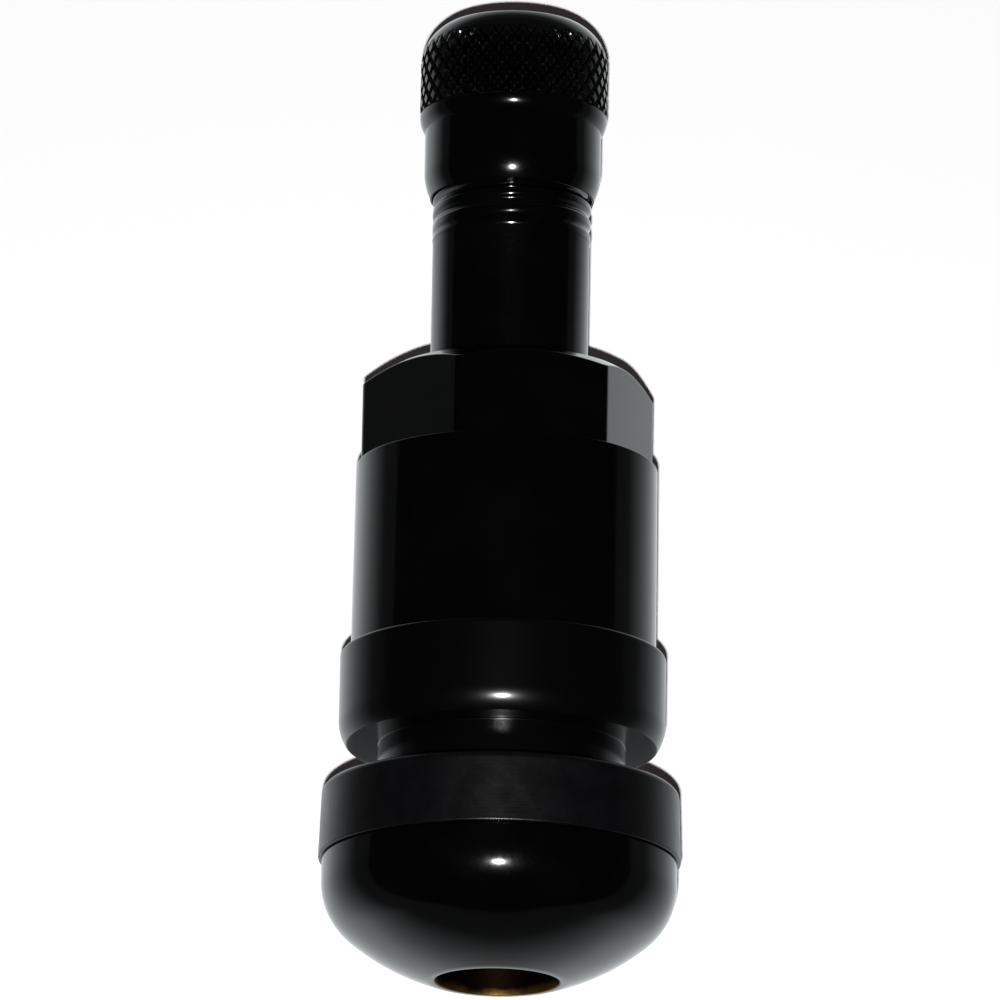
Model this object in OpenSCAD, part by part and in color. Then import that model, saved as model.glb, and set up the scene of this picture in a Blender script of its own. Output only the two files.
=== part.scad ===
// Clamp-in tyre valve with its dust cap and spring-loaded valve core, in millimetres.
// +Z runs along the stem, out of the wheel. Z = 0 is the face of the rubber flange that seats inside the rim.

/* [Foot] */
// Diameter of the band round the foot
foot_d = 17.15; // [15.5:0.05:17.5]
// Height of the foot from its rim to the rubber flange
foot_h = 5.9; // [5.2:0.1:8]
// Radius of the domed underside
dome_r = 11.5; // [10.5:0.05:14]
// Rounding where the band meets the dome
foot_edge_r = 3.4; // [1:0.1:3.8]
// Diameter of the air inlet
inlet_d = 6; // [5:0.1:7]
// Depth of the air inlet
inlet_depth = 6.5; // [4:0.1:8]
// Width of the flat rim round the air inlet
inlet_rim_w = 0.3; // [0.1:0.05:0.6]

/* [Rim seal] */
// How far the flange's lower edge stands out past the foot
flange_lip = 0.175; // [0.05:0.025:0.6]
// Height of the flange
flange_h = 3.5; // [2.5:0.1:5]
// How much the flange's radius shrinks towards the rim
flange_draft = 0.12; // [0.05:0.01:0.3]
// Rounding of the flange's upper edge
flange_edge_r = 0.35; // [0.2:0.05:0.8]
// Diameter of the neck that fills the rim's hole
neck_d = 12.3; // [11.3:0.1:13]
// Width of the groove for the rim
groove_w = 2.2; // [1.2:0.1:4]
// Diameter of the ring under the nut
ring_d = 15.8; // [15.2:0.1:18]
// Height of the ring
ring_h = 4.5; // [3:0.1:7]
// Rounding of the ring's lower edge
ring_edge_r = 0.9; // [0.4:0.1:1.4]
// Radial gap between the rubber and the stem
seal_gap = 0.03; // [0.01:0.01:0.1]

/* [Stem] */
// Diameter of the stem and of the thread for the cap
stem_d = 7.75; // [7.6:0.01:7.8]
// Diameter of the lower thread for the nut
nut_thread_d = 9; // [8.6:0.1:10]
// Length of stem that shows between nut and cap
stem_show_l = 9.1; // [8:0.1:14]
// Chamfer at the end of the stem
stem_chamfer = 0.4; // [0.2:0.05:0.6]
// Diameter of the air passage
passage_d = 3.9; // [3.8:0.05:4.2]

/* [Sleeve nut] */
// Diameter of the round skirt at its foot
nut_d = 14.8; // [14.6:0.1:15.4]
// How much the skirt's radius shrinks towards the hexagon
nut_taper = 0.06; // [0.02:0.01:0.1]
// Height of the round skirt
nut_skirt_h = 9.4; // [7:0.1:12]
// Size across the flats of the hexagon
hex_af = 12.6; // [12:0.1:12.8]
// Diameter that the corners of the hexagon are turned to
hex_corner_d = 14.4; // [14:0.05:14.5]
// Height of the hexagon
hex_h = 4.6; // [3.5:0.1:6]
// Diameter of the nut's flat top face
nut_top_d = 11.8; // [11:0.1:11.9]
// Slope of the chamfer round the top of the hexagon, in degrees
nut_chamfer_slope = 30; // [20:1:40]
// Rounding of the skirt's lower edge
nut_edge_r = 0.25; // [0.1:0.05:0.5]
// Height of the wall that closes the nut round the stem
nut_web_h = 3; // [2.5:0.1:3.3]
// Turn of the hexagon about the stem, in degrees
nut_turn = 10.5; // [0:0.5:59.5]
// Radial gap in the nut's thread and round the stem
nut_gap = 0.08; // [0.04:0.01:0.1]

/* [Dust cap] */
// Height of the cap
cap_h = 8.7; // [8.5:0.05:11]
// Diameter of the plain skirt
cap_skirt_d = 8.65; // [8.5:0.05:8.8]
// Height of the plain skirt
cap_skirt_h = 3.6; // [2.5:0.1:4.4]
// Height over which the skirt's lower edge rounds in
cap_edge_h = 1.35; // [0.5:0.05:1.6]
// Wall left at the skirt's lower edge
cap_lip_t = 0.05; // [0.05:0.01:0.15]
// Diameter over the points of the knurl
knurl_d = 9.2; // [9.1:0.05:9.4]
// Depth of the knurl
knurl_depth = 0.2; // [0.1:0.01:0.22]
// Diamonds round the cap
knurl_count = 36; // [24:1:44]
// Rows of half diamonds up the knurl
knurl_rows = 6; // [5:1:9]
// Height of the rounded crown above the knurl
crown_h = 1.9; // [1:0.05:2]
// Radius of the crown's rounding
crown_r = 2.2; // [2.05:0.05:2.4]
// Thickness of the cap's crown
crown_t = 1; // [0.8:0.1:1.4]
// Thickness of the gasket under the crown
gasket_t = 0.9; // [0.6:0.1:1.2]
// Radial gap in the cap's thread
cap_gap = 0.05; // [0.03:0.01:0.08]

/* [Valve core] */
// Diameter of the core's thread
core_thread_d = 5.2; // [5:0.05:5.3]
// Radial gap in the core's thread and seats
core_gap = 0.04; // [0.02:0.01:0.08]
// Depth of the key flats below the end of the stem
plug_depth = 0.9; // [0.6:0.1:1.2]
// Height of the key flats
key_h = 1.7; // [1.2:0.1:2]
// Diameter of the round that carries the key flats
key_d = 3.9; // [3.4:0.1:4.4]
// Width across the key flats
key_w = 2.2; // [2:0.1:2.8]
// Height of the plug's thread
plug_thread_h = 2.8; // [2.4:0.1:3.2]
// Diameter of the air hole round the pin
air_hole_d = 1.6; // [1.4:0.1:1.8]
// Height of the neck between plug and gasket
barrel_neck_h = 1.4; // [1.2:0.1:1.8]
// Thickness of the collars above and below the gasket
collar_t = 0.6; // [0.4:0.1:0.8]
// Height of the tapered gasket
taper_h = 1.8; // [1.4:0.1:2.4]
// Diameter of the seat at its wide end
seat_d = 4.8; // [4.6:0.1:5]
// Diameter of the groove that holds the gasket
gasket_groove_d = 3.3; // [2.8:0.1:3.4]
// Diameter of the barrel's tube
barrel_d = 3.3; // [3.2:0.05:3.4]
// Diameter of the spring chamber
chamber_d = 2.6; // [2.5:0.05:2.7]
// Thickness of the ledge under the spring
ledge_t = 0.7; // [0.5:0.1:1]
// Diameter of the pin
pin_d = 0.95; // [0.8:0.05:1.1]
// Depth of the pin's end below the end of the stem
pin_depth = 0.3; // [0.2:0.05:0.5]
// Rounding of the pin's end
pin_tip_r = 0.2; // [0.1:0.05:0.2]
// Diameter of the pin's riveted end
rivet_d = 1.9; // [1.6:0.1:2.4]
// Height of the pin's riveted end
rivet_h = 0.4; // [0.3:0.1:0.6]
// Diameter of the shoulder that the spring lifts
shoulder_d = 2.3; // [2.1:0.05:2.4]
// Thickness of the shoulder
shoulder_t = 0.5; // [0.4:0.1:0.8]
// Length of the spring at rest
spring_l = 5.2; // [4.6:0.1:6]
// Diameter of the spring's wire
wire_d = 0.3; // [0.2:0.02:0.34]
// Turns of the spring
spring_turns = 7; // [6:1:8]
// Thickness of the rubber washer that closes the barrel
washer_t = 0.7; // [0.5:0.1:0.9]
// Diameter of the cup
cup_d = 3.1; // [3:0.05:3.3]
// Thickness of the cup's wall and floor
cup_t = 0.25; // [0.2:0.05:0.4]
// How far the washer stands out of the cup
washer_proud = 0.2; // [0.1:0.05:0.3]

/* [Hidden] */
$fn = 96;
past = 1; // how far a cut runs past the face that it opens
sunk = 0.05; // how far the knurl's end is set into the crown
shoulder_slack = 0.2; // room above the pin's shoulder and beside the spring
ring_gap = 0.15; // radial gap round the cap's gasket
lead_in = 0.4; // chamfer at the ends of the nut's hole and above the stem's lower thread
hex_sides = 6; // sides of the nut's hexagon
coil_steps = 14; // rings of points in each turn of the spring
wire_sides = 8; // sides of the spring's wire
closed_turns = 1; // turns at each end of the spring that lie together
closed_pitch = 1.15; // pitch of those turns, in wire diameters

foot_r = foot_d / 2;
inlet_r = inlet_d / 2;
flange_r = foot_r + flange_lip;
ring_r = ring_d / 2;
stem_r = stem_d / 2;
nut_thread_r = nut_thread_d / 2;
passage_r = passage_d / 2;
nut_r = nut_d / 2;
cap_skirt_r = cap_skirt_d / 2;
cap_bore_r = stem_r + cap_gap;
knurl_r = knurl_d / 2;
core_bore_r = core_thread_d / 2 + core_gap;
seat_r = seat_d / 2;
groove_r = gasket_groove_d / 2;
air_hole_r = air_hole_d / 2;
barrel_r = barrel_d / 2;
chamber_r = chamber_d / 2;
pin_r = pin_d / 2;
cup_r = cup_d / 2;
wire_r = wire_d / 2;
coil_r = chamber_r - shoulder_slack / 2 - wire_r;

// Heights, from the foot up to the cap
foot_top_z = -flange_h;
foot_bottom_z = foot_top_z - foot_h;
ring_z = groove_w;
ring_top_z = ring_z + ring_h;
hex_z = ring_top_z + nut_skirt_h;
nut_top_z = hex_z + hex_h;
nut_web_z = nut_top_z - nut_web_h;
cap_z = nut_top_z + stem_show_l;
cap_top_z = cap_z + cap_h;
ceiling_z = cap_top_z - crown_t;
stem_top_z = ceiling_z - gasket_t;
knurl_z = cap_z + cap_skirt_h;
crown_z = cap_top_z - crown_h;

// Heights in the valve core, from its key flats down to the rivet of the pin
key_top_z = stem_top_z - plug_depth;
plug_thread_top_z = key_top_z - key_h;
plug_z = plug_thread_top_z - plug_thread_h;
seat_top_z = plug_z - barrel_neck_h;
seat_z = seat_top_z - taper_h;
chamber_top_z = seat_z - collar_t / 2;
shoulder_top_z = chamber_top_z - shoulder_slack;
spring_top_z = shoulder_top_z - shoulder_t;
ledge_z = spring_top_z - spring_l;
barrel_z = ledge_z - ledge_t;
washer_z = barrel_z - washer_t;
cup_z = washer_z - cup_t;
pin_z = cup_z - rivet_h;

// The dome's centre, and the centre of the small arc that rounds its edge
dome_z = foot_bottom_z + sqrt(dome_r ^ 2 - (inlet_r + inlet_rim_w) ^ 2);
edge_x = foot_r - foot_edge_r;
edge_z = dome_z - sqrt((dome_r - foot_edge_r) ^ 2 - edge_x ^ 2);

// Half of a round bar between two heights, with its lower and upper edges rounded
module round_bar(r, z_low, z_high, low_r = 0, high_r = 0) {
    translate([0, z_low + low_r])
        square([r, z_high - z_low - low_r - high_r]);
    if (low_r > 0) {
        translate([0, z_low])
            square([r - low_r, low_r]);
        translate([r - low_r, z_low + low_r])
            circle(low_r);
    }
    if (high_r > 0) {
        translate([0, z_high - high_r])
            square([r - high_r, high_r]);
        translate([r - high_r, z_high - high_r])
            circle(high_r);
    }
}

// Half of a disc between two heights, whose rim is an arc centred at arc_z
module arc_rim(r, arc_r, z_low, z_high, arc_z) {
    intersection() {
        translate([0, z_low])
            square([r, z_high - z_low]);
        union() {
            translate([r - arc_r, arc_z])
                circle(arc_r);
            translate([0, z_low])
                square([r - arc_r, z_high - z_low]);
        }
    }
}

// Half of a round bore, open past both of its ends
module bore_cut(r, z_low, z_high) {
    translate([0, z_low - past])
        square([r, z_high - z_low + 2 * past]);
}

// Half section of the domed foot: the dome trimmed by the band, with the edge between them rounded
module foot_section() {
    reach = dome_r / (dome_r - foot_edge_r);
    touch = [edge_x * reach, dome_z + (edge_z - dome_z) * reach];
    intersection() {
        translate([0, foot_bottom_z])
            square([foot_r, foot_h]);
        union() {
            difference() {
                translate([0, dome_z])
                    circle(dome_r);
                polygon([[edge_x, edge_z], touch, [foot_r + past, touch.y], [foot_r + past, edge_z]]);
            }
            translate([edge_x, edge_z])
                circle(foot_edge_r);
        }
    }
}

// Half section of the stem: the thread for the nut, a cone, and the stem that takes the cap
module stem_section() {
    thread_top_z = nut_web_z - lead_in;
    polygon([
        [0, foot_top_z - past],
        [nut_thread_r, foot_top_z - past],
        [nut_thread_r, thread_top_z - (nut_thread_r - stem_r)],
        [stem_r, thread_top_z],
        [stem_r, stem_top_z - stem_chamfer],
        [stem_r - stem_chamfer, stem_top_z],
        [0, stem_top_z]
    ]);
}

// Half section of the hole through the body: core thread, tapered seat, passage and air inlet
module stem_hole() {
    mouth = core_bore_r + stem_chamfer;
    thread_end_z = (plug_z + seat_top_z) / 2;
    inlet_z = foot_bottom_z + inlet_depth;
    polygon([
        [0, stem_top_z + past],
        [mouth, stem_top_z + past],
        [mouth, stem_top_z],
        [core_bore_r, stem_top_z - stem_chamfer],
        [core_bore_r, thread_end_z],
        [seat_r, thread_end_z],
        [seat_r, seat_top_z],
        [passage_r, seat_z],
        [passage_r, inlet_z + inlet_r - passage_r],
        [inlet_r, inlet_z],
        [inlet_r, foot_bottom_z - past],
        [0, foot_bottom_z - past]
    ]);
}

module valve_body() {
    color([0.05, 0.05, 0.055])
        rotate_extrude()
            difference() {
                union() {
                    foot_section();
                    stem_section();
                }
                stem_hole();
            }
}

module rim_seal() {
    edge_top_x = flange_r - flange_draft;
    color([0.1, 0.1, 0.1])
        rotate_extrude()
            difference() {
                union() {
                    polygon([
                        [0, foot_top_z],
                        [flange_r, foot_top_z],
                        [edge_top_x, -flange_edge_r],
                        [0, -flange_edge_r]
                    ]);
                    round_bar(edge_top_x, -2 * flange_edge_r, 0, 0, flange_edge_r);
                    translate([0, -flange_edge_r])
                        square([neck_d / 2, ring_z + 2 * flange_edge_r]);
                    round_bar(ring_r, ring_z, ring_top_z, ring_edge_r);
                }
                bore_cut(nut_thread_r + seal_gap, foot_top_z, ring_top_z);
            }
}

// The hexagon's corners are turned down, and its top edge is chamfered by a cone
module hexagon() {
    top_r = nut_top_d / 2;
    corner_r = hex_corner_d / 2;
    drop = (corner_r - top_r) * tan(nut_chamfer_slope);
    intersection() {
        translate([0, 0, hex_z - sunk])
            rotate([0, 0, nut_turn])
                cylinder(h = hex_h + sunk, d = hex_af / cos(180 / hex_sides), $fn = hex_sides);
        rotate_extrude()
            polygon([
                [0, hex_z - past],
                [corner_r, hex_z - past],
                [corner_r, nut_top_z - drop],
                [top_r, nut_top_z],
                [0, nut_top_z]
            ]);
    }
}

module nut_skirt() {
    rotate_extrude()
        union() {
            polygon([
                [0, ring_top_z + nut_edge_r],
                [nut_r, ring_top_z + nut_edge_r],
                [nut_r - nut_taper, hex_z],
                [0, hex_z]
            ]);
            round_bar(nut_r, ring_top_z, ring_top_z + 2 * nut_edge_r, nut_edge_r);
        }
}

module nut_hole() {
    thread_r = nut_thread_r + nut_gap;
    hole_r = stem_r + nut_gap;
    rotate_extrude()
        polygon([
            [0, ring_top_z - past],
            [thread_r + lead_in + past, ring_top_z - past],
            [thread_r, ring_top_z + lead_in],
            [thread_r, nut_web_z],
            [hole_r, nut_web_z],
            [hole_r, nut_top_z - lead_in],
            [hole_r + lead_in + past, nut_top_z + past],
            [0, nut_top_z + past]
        ]);
}

module sleeve_nut() {
    color([0.05, 0.05, 0.055])
        difference() {
            union() {
                nut_skirt();
                hexagon();
            }
            nut_hole();
        }
}

// A band of diamonds: points and valleys take turns round each row, and each row is half a diamond high
module knurl() {
    steps = 2 * knurl_count;
    valley_r = knurl_r - knurl_depth;
    inner_r = (cap_bore_r + cap_skirt_r) / 2;
    row_h = (crown_z + sunk - knurl_z) / knurl_rows;
    function ring_point(r, i, z) = [r * cos(360 * i / steps), r * sin(360 * i / steps), z];
    function band_r(i, j) =
        j == 0 || j == knurl_rows || (i + j) % 2 == 0 ? valley_r : knurl_r;
    function at(i, j) = j * steps + i % steps;
    function inner(i, k) = (knurl_rows + 1 + k) * steps + i % steps;
    band = [
        for (j = [0:knurl_rows])
            for (i = [0:steps - 1])
                ring_point(band_r(i, j), i, knurl_z + j * row_h)
    ];
    bore = [
        for (k = [0:1])
            for (i = [0:steps - 1])
                ring_point(inner_r, i, knurl_z + k * knurl_rows * row_h)
    ];
    slopes = [
        for (j = [0:knurl_rows - 1])
            for (i = [0:steps - 1])
                each (i + j) % 2 == 0
                    ? [[at(i, j), at(i + 1, j + 1), at(i + 1, j)], [at(i, j), at(i, j + 1), at(i + 1, j + 1)]]
                    : [[at(i, j), at(i, j + 1), at(i + 1, j)], [at(i + 1, j), at(i, j + 1), at(i + 1, j + 1)]]
    ];
    closing = [
        for (i = [0:steps - 1])
            each [
                [at(i, 0), at(i + 1, 0), inner(i + 1, 0), inner(i, 0)],
                [at(i, knurl_rows), inner(i, 1), inner(i + 1, 1), at(i + 1, knurl_rows)],
                [inner(i, 0), inner(i + 1, 0), inner(i + 1, 1), inner(i, 1)]
            ]
    ];
    polyhedron(concat(band, bore), concat(slopes, closing));
}

// Half section of the turned cap: skirt, rounded crown and threaded hole
module cap_section() {
    edge_w = cap_skirt_r - cap_bore_r - cap_lip_t;
    edge_r = (cap_edge_h ^ 2 + edge_w ^ 2) / (2 * edge_w);
    edge_top_z = cap_z + cap_edge_h;
    difference() {
        union() {
            arc_rim(cap_skirt_r, edge_r, cap_z, edge_top_z, edge_top_z);
            translate([0, edge_top_z])
                square([cap_skirt_r, crown_z + sunk - edge_top_z]);
            arc_rim(knurl_r + sunk, crown_r, crown_z, cap_top_z, crown_z);
        }
        translate([0, cap_z - past])
            square([cap_bore_r, ceiling_z - cap_z + past]);
    }
}

module dust_cap() {
    color([0.05, 0.05, 0.055])
        union() {
            rotate_extrude()
                cap_section();
            knurl();
        }
}

module cap_gasket() {
    color([0.12, 0.12, 0.12])
        translate([0, 0, stem_top_z])
            cylinder(h = gasket_t, r = cap_bore_r - ring_gap);
}

module core_plug() {
    color([0.8, 0.62, 0.3])
        difference() {
            union() {
                translate([0, 0, plug_z])
                    cylinder(h = plug_thread_h, d = core_thread_d);
                intersection() {
                    translate([0, 0, plug_z])
                        cylinder(h = plug_thread_h + key_h, d = key_d);
                    translate([-key_w / 2, -key_d, plug_z])
                        cube([key_w, 2 * key_d, plug_thread_h + key_h]);
                }
            }
            translate([0, 0, plug_z - past])
                cylinder(h = plug_thread_h + key_h + 2 * past, d = air_hole_d);
        }
}

module core_barrel() {
    collar_r = seat_r - shoulder_slack;
    low_collar_r = (barrel_r + passage_r) / 2;
    color([0.8, 0.62, 0.3])
        rotate_extrude()
            difference() {
                polygon([
                    [0, plug_z],
                    [groove_r, plug_z],
                    [groove_r, seat_top_z + collar_t],
                    [collar_r, seat_top_z + collar_t],
                    [collar_r, seat_top_z],
                    [groove_r, seat_top_z],
                    [groove_r, seat_z],
                    [low_collar_r, seat_z],
                    [low_collar_r, seat_z - collar_t],
                    [barrel_r, seat_z - collar_t],
                    [barrel_r, barrel_z],
                    [0, barrel_z]
                ]);
                bore_cut(air_hole_r, barrel_z, plug_z);
                translate([0, ledge_z])
                    square([chamber_r, chamber_top_z - ledge_z]);
            }
}

module core_gasket() {
    color([0.75, 0.1, 0.08])
        rotate_extrude()
            polygon([
                [groove_r, seat_z],
                [passage_r - core_gap, seat_z],
                [seat_r - core_gap, seat_top_z],
                [groove_r, seat_top_z]
            ]);
}

module core_pin() {
    color([0.75, 0.76, 0.78])
        rotate_extrude() {
            round_bar(pin_r, pin_z, stem_top_z - pin_depth, 0, pin_tip_r);
            translate([0, spring_top_z])
                square([shoulder_d / 2, shoulder_t]);
            translate([0, pin_z])
                square([rivet_d / 2, rivet_h]);
        }
}

module core_cup() {
    color([0.8, 0.62, 0.3])
        rotate_extrude()
            difference() {
                translate([pin_r, cup_z])
                    square([cup_r - pin_r, cup_t + washer_t - washer_proud]);
                translate([pin_r - past, washer_z])
                    square([cup_r - cup_t - pin_r + past, washer_t]);
            }
}

module core_cup_seal() {
    color([0.08, 0.08, 0.08])
        rotate_extrude()
            translate([pin_r, washer_z])
                square([cup_r - cup_t - pin_r, washer_t]);
}

// A wire swept along a helix whose end turns lie together
module core_spring() {
    steps = spring_turns * coil_steps;
    end_rise = closed_turns * closed_pitch * wire_d;
    open_pitch = (spring_l - wire_d - 2 * end_rise) / (spring_turns - 2 * closed_turns);
    function rise(t) =
        t < closed_turns ? t * closed_pitch * wire_d :
        t > spring_turns - closed_turns
            ? spring_l - wire_d - (spring_turns - t) * closed_pitch * wire_d :
        end_rise + (t - closed_turns) * open_pitch;
    function wire_point(t, a) = [
        (coil_r + wire_r * cos(a)) * cos(360 * t),
        (coil_r + wire_r * cos(a)) * sin(360 * t),
        ledge_z + wire_r + rise(t) + wire_r * sin(a)
    ];
    function at(k, s) = k * wire_sides + s % wire_sides;
    wire = [
        for (k = [0:steps])
            for (s = [0:wire_sides - 1])
                wire_point(k / coil_steps, 180 * (2 * s + 1) / wire_sides)
    ];
    sides = [
        for (k = [0:steps - 1])
            for (s = [0:wire_sides - 1])
                each [
                    [at(k, s), at(k, s + 1), at(k + 1, s + 1)],
                    [at(k, s), at(k + 1, s + 1), at(k + 1, s)]
                ]
    ];
    start_end = [for (s = [wire_sides - 1:-1:0]) at(0, s)];
    far_end = [for (s = [0:wire_sides - 1]) at(steps, s)];
    color([0.7, 0.71, 0.73])
        polyhedron(wire, concat(sides, [start_end, far_end]));
}

valve_body();
rim_seal();
sleeve_nut();
dust_cap();
cap_gasket();
core_plug();
core_barrel();
core_gasket();
core_pin();
core_cup();
core_cup_seal();
core_spring();
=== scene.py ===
# %% [markdown]
# # A black clamp-in tyre valve
#
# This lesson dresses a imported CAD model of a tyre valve. The valve is a turned brass stem with a domed
# foot, blackened outside. A rubber seal grips the wheel rim, a sleeve nut clamps the seal, and a knurled
# cap keeps dust out. The CAD model gives every place and main size. Blender adds threads, a crisp knurl,
# rounded edges and the finishes.

import math

import bmesh
import bpy
from mathutils import Matrix, Vector


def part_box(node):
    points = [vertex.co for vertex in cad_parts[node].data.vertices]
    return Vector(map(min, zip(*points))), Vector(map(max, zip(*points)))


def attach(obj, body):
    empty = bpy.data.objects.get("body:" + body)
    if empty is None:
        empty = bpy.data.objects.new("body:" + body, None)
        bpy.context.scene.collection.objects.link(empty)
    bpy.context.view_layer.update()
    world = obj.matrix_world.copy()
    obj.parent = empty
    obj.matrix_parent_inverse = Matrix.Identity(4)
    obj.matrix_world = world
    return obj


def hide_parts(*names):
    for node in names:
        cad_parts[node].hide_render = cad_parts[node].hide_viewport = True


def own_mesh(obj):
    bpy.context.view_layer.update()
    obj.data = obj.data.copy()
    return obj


MM = 0.001
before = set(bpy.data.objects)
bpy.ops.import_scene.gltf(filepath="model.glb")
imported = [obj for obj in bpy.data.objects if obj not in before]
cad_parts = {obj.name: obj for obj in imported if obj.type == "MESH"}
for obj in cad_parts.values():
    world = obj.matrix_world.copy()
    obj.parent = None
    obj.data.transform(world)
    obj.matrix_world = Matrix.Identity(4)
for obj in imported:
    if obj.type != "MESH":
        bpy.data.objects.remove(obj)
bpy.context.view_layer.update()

# %% [markdown]
# ## Levels and radii from the frame
#
# A turned part is known by its levels along the axis and its radii. The frame already holds most of them,
# so they are read from the boxes of the CAD nodes. The valve's sizes are in millimetres, and become metres
# when a mesh is built.

# %% Read the levels and radii
def low(node):
    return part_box(node)[0].z / MM


def high(node):
    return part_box(node)[1].z / MM


def radius(node):
    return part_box(node)[1].x / MM


FOOT_Z, STEM_TOP_Z = low("valve_body"), high("valve_body")
FOOT_TOP_Z, RING_TOP_Z = low("rim_seal"), high("rim_seal")
NUT_TOP_Z = high("sleeve_nut")
CAP_Z, CAP_TOP_Z = low("dust_cap"), high("dust_cap")
CEILING_Z = high("cap_gasket")
SEAT_Z, SEAT_TOP_Z = low("core_gasket"), high("core_gasket")
PLUG_Z = low("core_plug")
FOOT_R = radius("valve_body")
FLANGE_R = radius("rim_seal")
levels = (FOOT_Z, FOOT_TOP_Z, RING_TOP_Z, NUT_TOP_Z, CAP_Z, STEM_TOP_Z, CAP_TOP_Z)
print("levels in mm:", *(round(z, 2) for z in levels))

# %% [markdown]
# ## Turned pieces
#
# On a lathe, an outline is swept round an axis. A Screw modifier could do that, but a short helper keeps
# full control: each outline is a loop of corners, each with its own rounding, and the helper draws the
# roundings as arcs. Two guard points beside each arc keep smooth shading from bleeding into the flat
# stretches.

# %% Round an outline
ARC_STEPS, SWELL_STEPS = 6, 10
GUARD = 0.05


def rounded(corners, closed=True):
    """The points of an outline through corners (radius, height, rounding)."""
    points = []
    for i, (r, z, rounding) in enumerate(corners):
        corner = Vector((r, z))
        at_end = not closed and i in (0, len(corners) - 1)
        if rounding == 0 or at_end:
            points.append(corner)
            continue
        before = (Vector(corners[i - 1][:2]) - corner).normalized()
        after = (Vector(corners[(i + 1) % len(corners)][:2]) - corner).normalized()
        half = before.angle(after) / 2
        reach = rounding / math.tan(half)
        middle = corner + (before + after).normalized() * rounding / math.sin(half)
        spoke = corner + before * reach - middle
        turn = spoke.angle_signed(corner + after * reach - middle)
        points.append(corner + before * (reach + GUARD))
        points += [middle + Matrix.Rotation(-turn * k / ARC_STEPS, 2) @ spoke for k in range(ARC_STEPS + 1)]
        points.append(corner + after * (reach + GUARD))
    return points


def arc(middle, r, start, end, steps):
    """Corners without rounding along an arc of the outline, between two angles in degrees."""
    angles = [math.radians(start + (end - start) * k / steps) for k in range(steps + 1)]
    return [(middle[0] + r * math.cos(a), middle[1] + r * math.sin(a), 0) for a in angles]


def swelling(r, z, width, height):
    """An arc that widens to the radius r over a height that starts at z, and ends upright."""
    bend = (height ** 2 + width ** 2) / (2 * width)
    start = -math.degrees(math.asin(height / bend))
    return arc((r - bend, z + height), bend, start, 0, SWELL_STEPS)


print("each rounding has", ARC_STEPS, "steps, each swelling", SWELL_STEPS)

# %% [markdown]
# ## From outline to mesh
#
# The sweep itself puts the same outline, or one that changes with the direction, at each angle and joins
# neighbours with faces. Parts made apart, such as a skin and its thread, are welded where their open rims
# meet.

# %% Sweep and weld
WELD = 1e-6
SHARP = math.radians(32)


def swept(name, angles, outline_at, closed=True):
    """A mesh object whose outline at each angle comes from outline_at(angle)."""
    shape = bmesh.new()
    columns = [
        [shape.verts.new((p.x * math.cos(a) * MM, p.x * math.sin(a) * MM, p.y * MM)) for p in outline_at(a)]
        for a in angles
    ]
    rows = len(columns[0])
    for left, right in zip(columns, columns[1:] + columns[:1]):
        for k in range(rows if closed else rows - 1):
            shape.faces.new((left[k], right[k], right[(k + 1) % rows], left[(k + 1) % rows]))
    return placed(name, shape)


def placed(name, shape):
    """Closes a shape's seams, points its faces outwards and links it as an object."""
    bmesh.ops.remove_doubles(shape, verts=shape.verts, dist=WELD)
    bmesh.ops.recalc_face_normals(shape, faces=shape.faces)
    mesh = bpy.data.meshes.new(name)
    shape.to_mesh(mesh)
    shape.free()
    mesh.shade_smooth()
    mesh.set_sharp_from_angle(angle=SHARP)
    piece = bpy.data.objects.new(name, mesh)
    bpy.context.collection.objects.link(piece)
    return piece


def turned(name, outline, columns, closed=True):
    """A mesh object with the same outline all round."""
    points = rounded(outline, closed)
    return swept(name, [2 * math.pi * k / columns for k in range(columns)], lambda angle: points, closed)


def welded(name, *parts):
    """One closed mesh object from parts that meet at their open rims."""
    shape = bmesh.new()
    for part in parts:
        shape.from_mesh(part.data)
        bpy.data.objects.remove(part)
    return placed(name, shape)


print("points closer than", WELD / MM, "mm are welded")

# %% [markdown]
# ## Node helpers
#
# Geometry Nodes and shader trees are written here as short sums. One helper makes a Math node and returns
# its output, so that a rule reads almost as it would on paper.

# %% Helpers for node trees
def wire(tree, value, socket):
    """Links a socket's value, or sets a plain number."""
    if isinstance(value, bpy.types.NodeSocket):
        tree.links.new(value, socket)
    else:
        socket.default_value = value


def calc(tree, operation, *terms):
    """The output of a Math node on sockets or numbers."""
    node = tree.nodes.new("ShaderNodeMath")
    node.operation = operation
    for term, socket in zip(terms, node.inputs):
        wire(tree, term, socket)
    return node.outputs[0]


def smooth_step(tree, value, start, end):
    """A smooth rise from 0 to 1 between two values."""
    node = tree.nodes.new("ShaderNodeMapRange")
    node.interpolation_type = "SMOOTHSTEP"
    for term, name in ((value, "Value"), (start, "From Min"), (end, "From Max")):
        wire(tree, term, node.inputs[name])
    return node.outputs["Result"]


print("helpers for node trees: wire, calc, smooth_step")

# %% [markdown]
# ## Helpers for Geometry Nodes
#
# What repeats on the valve, its threads, knurl and spring, comes from rules. A rule starts from a flat
# sheet or a line and rolls it round the axis. It is run once, and the result is kept as a plain mesh that
# can be welded to others.

# %% Helpers for rules
def new_rule(name, **kinds):
    """A Geometry Nodes tree with named inputs, and those inputs as sockets."""
    tree = bpy.data.node_groups.new(name, "GeometryNodeTree")
    tree.interface.new_socket("Geometry", in_out="OUTPUT", socket_type="NodeSocketGeometry")
    for label, kind in kinds.items():
        tree.interface.new_socket(label, in_out="INPUT", socket_type=f"NodeSocket{kind}")
    return tree, tree.nodes.new("NodeGroupInput").outputs


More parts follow.
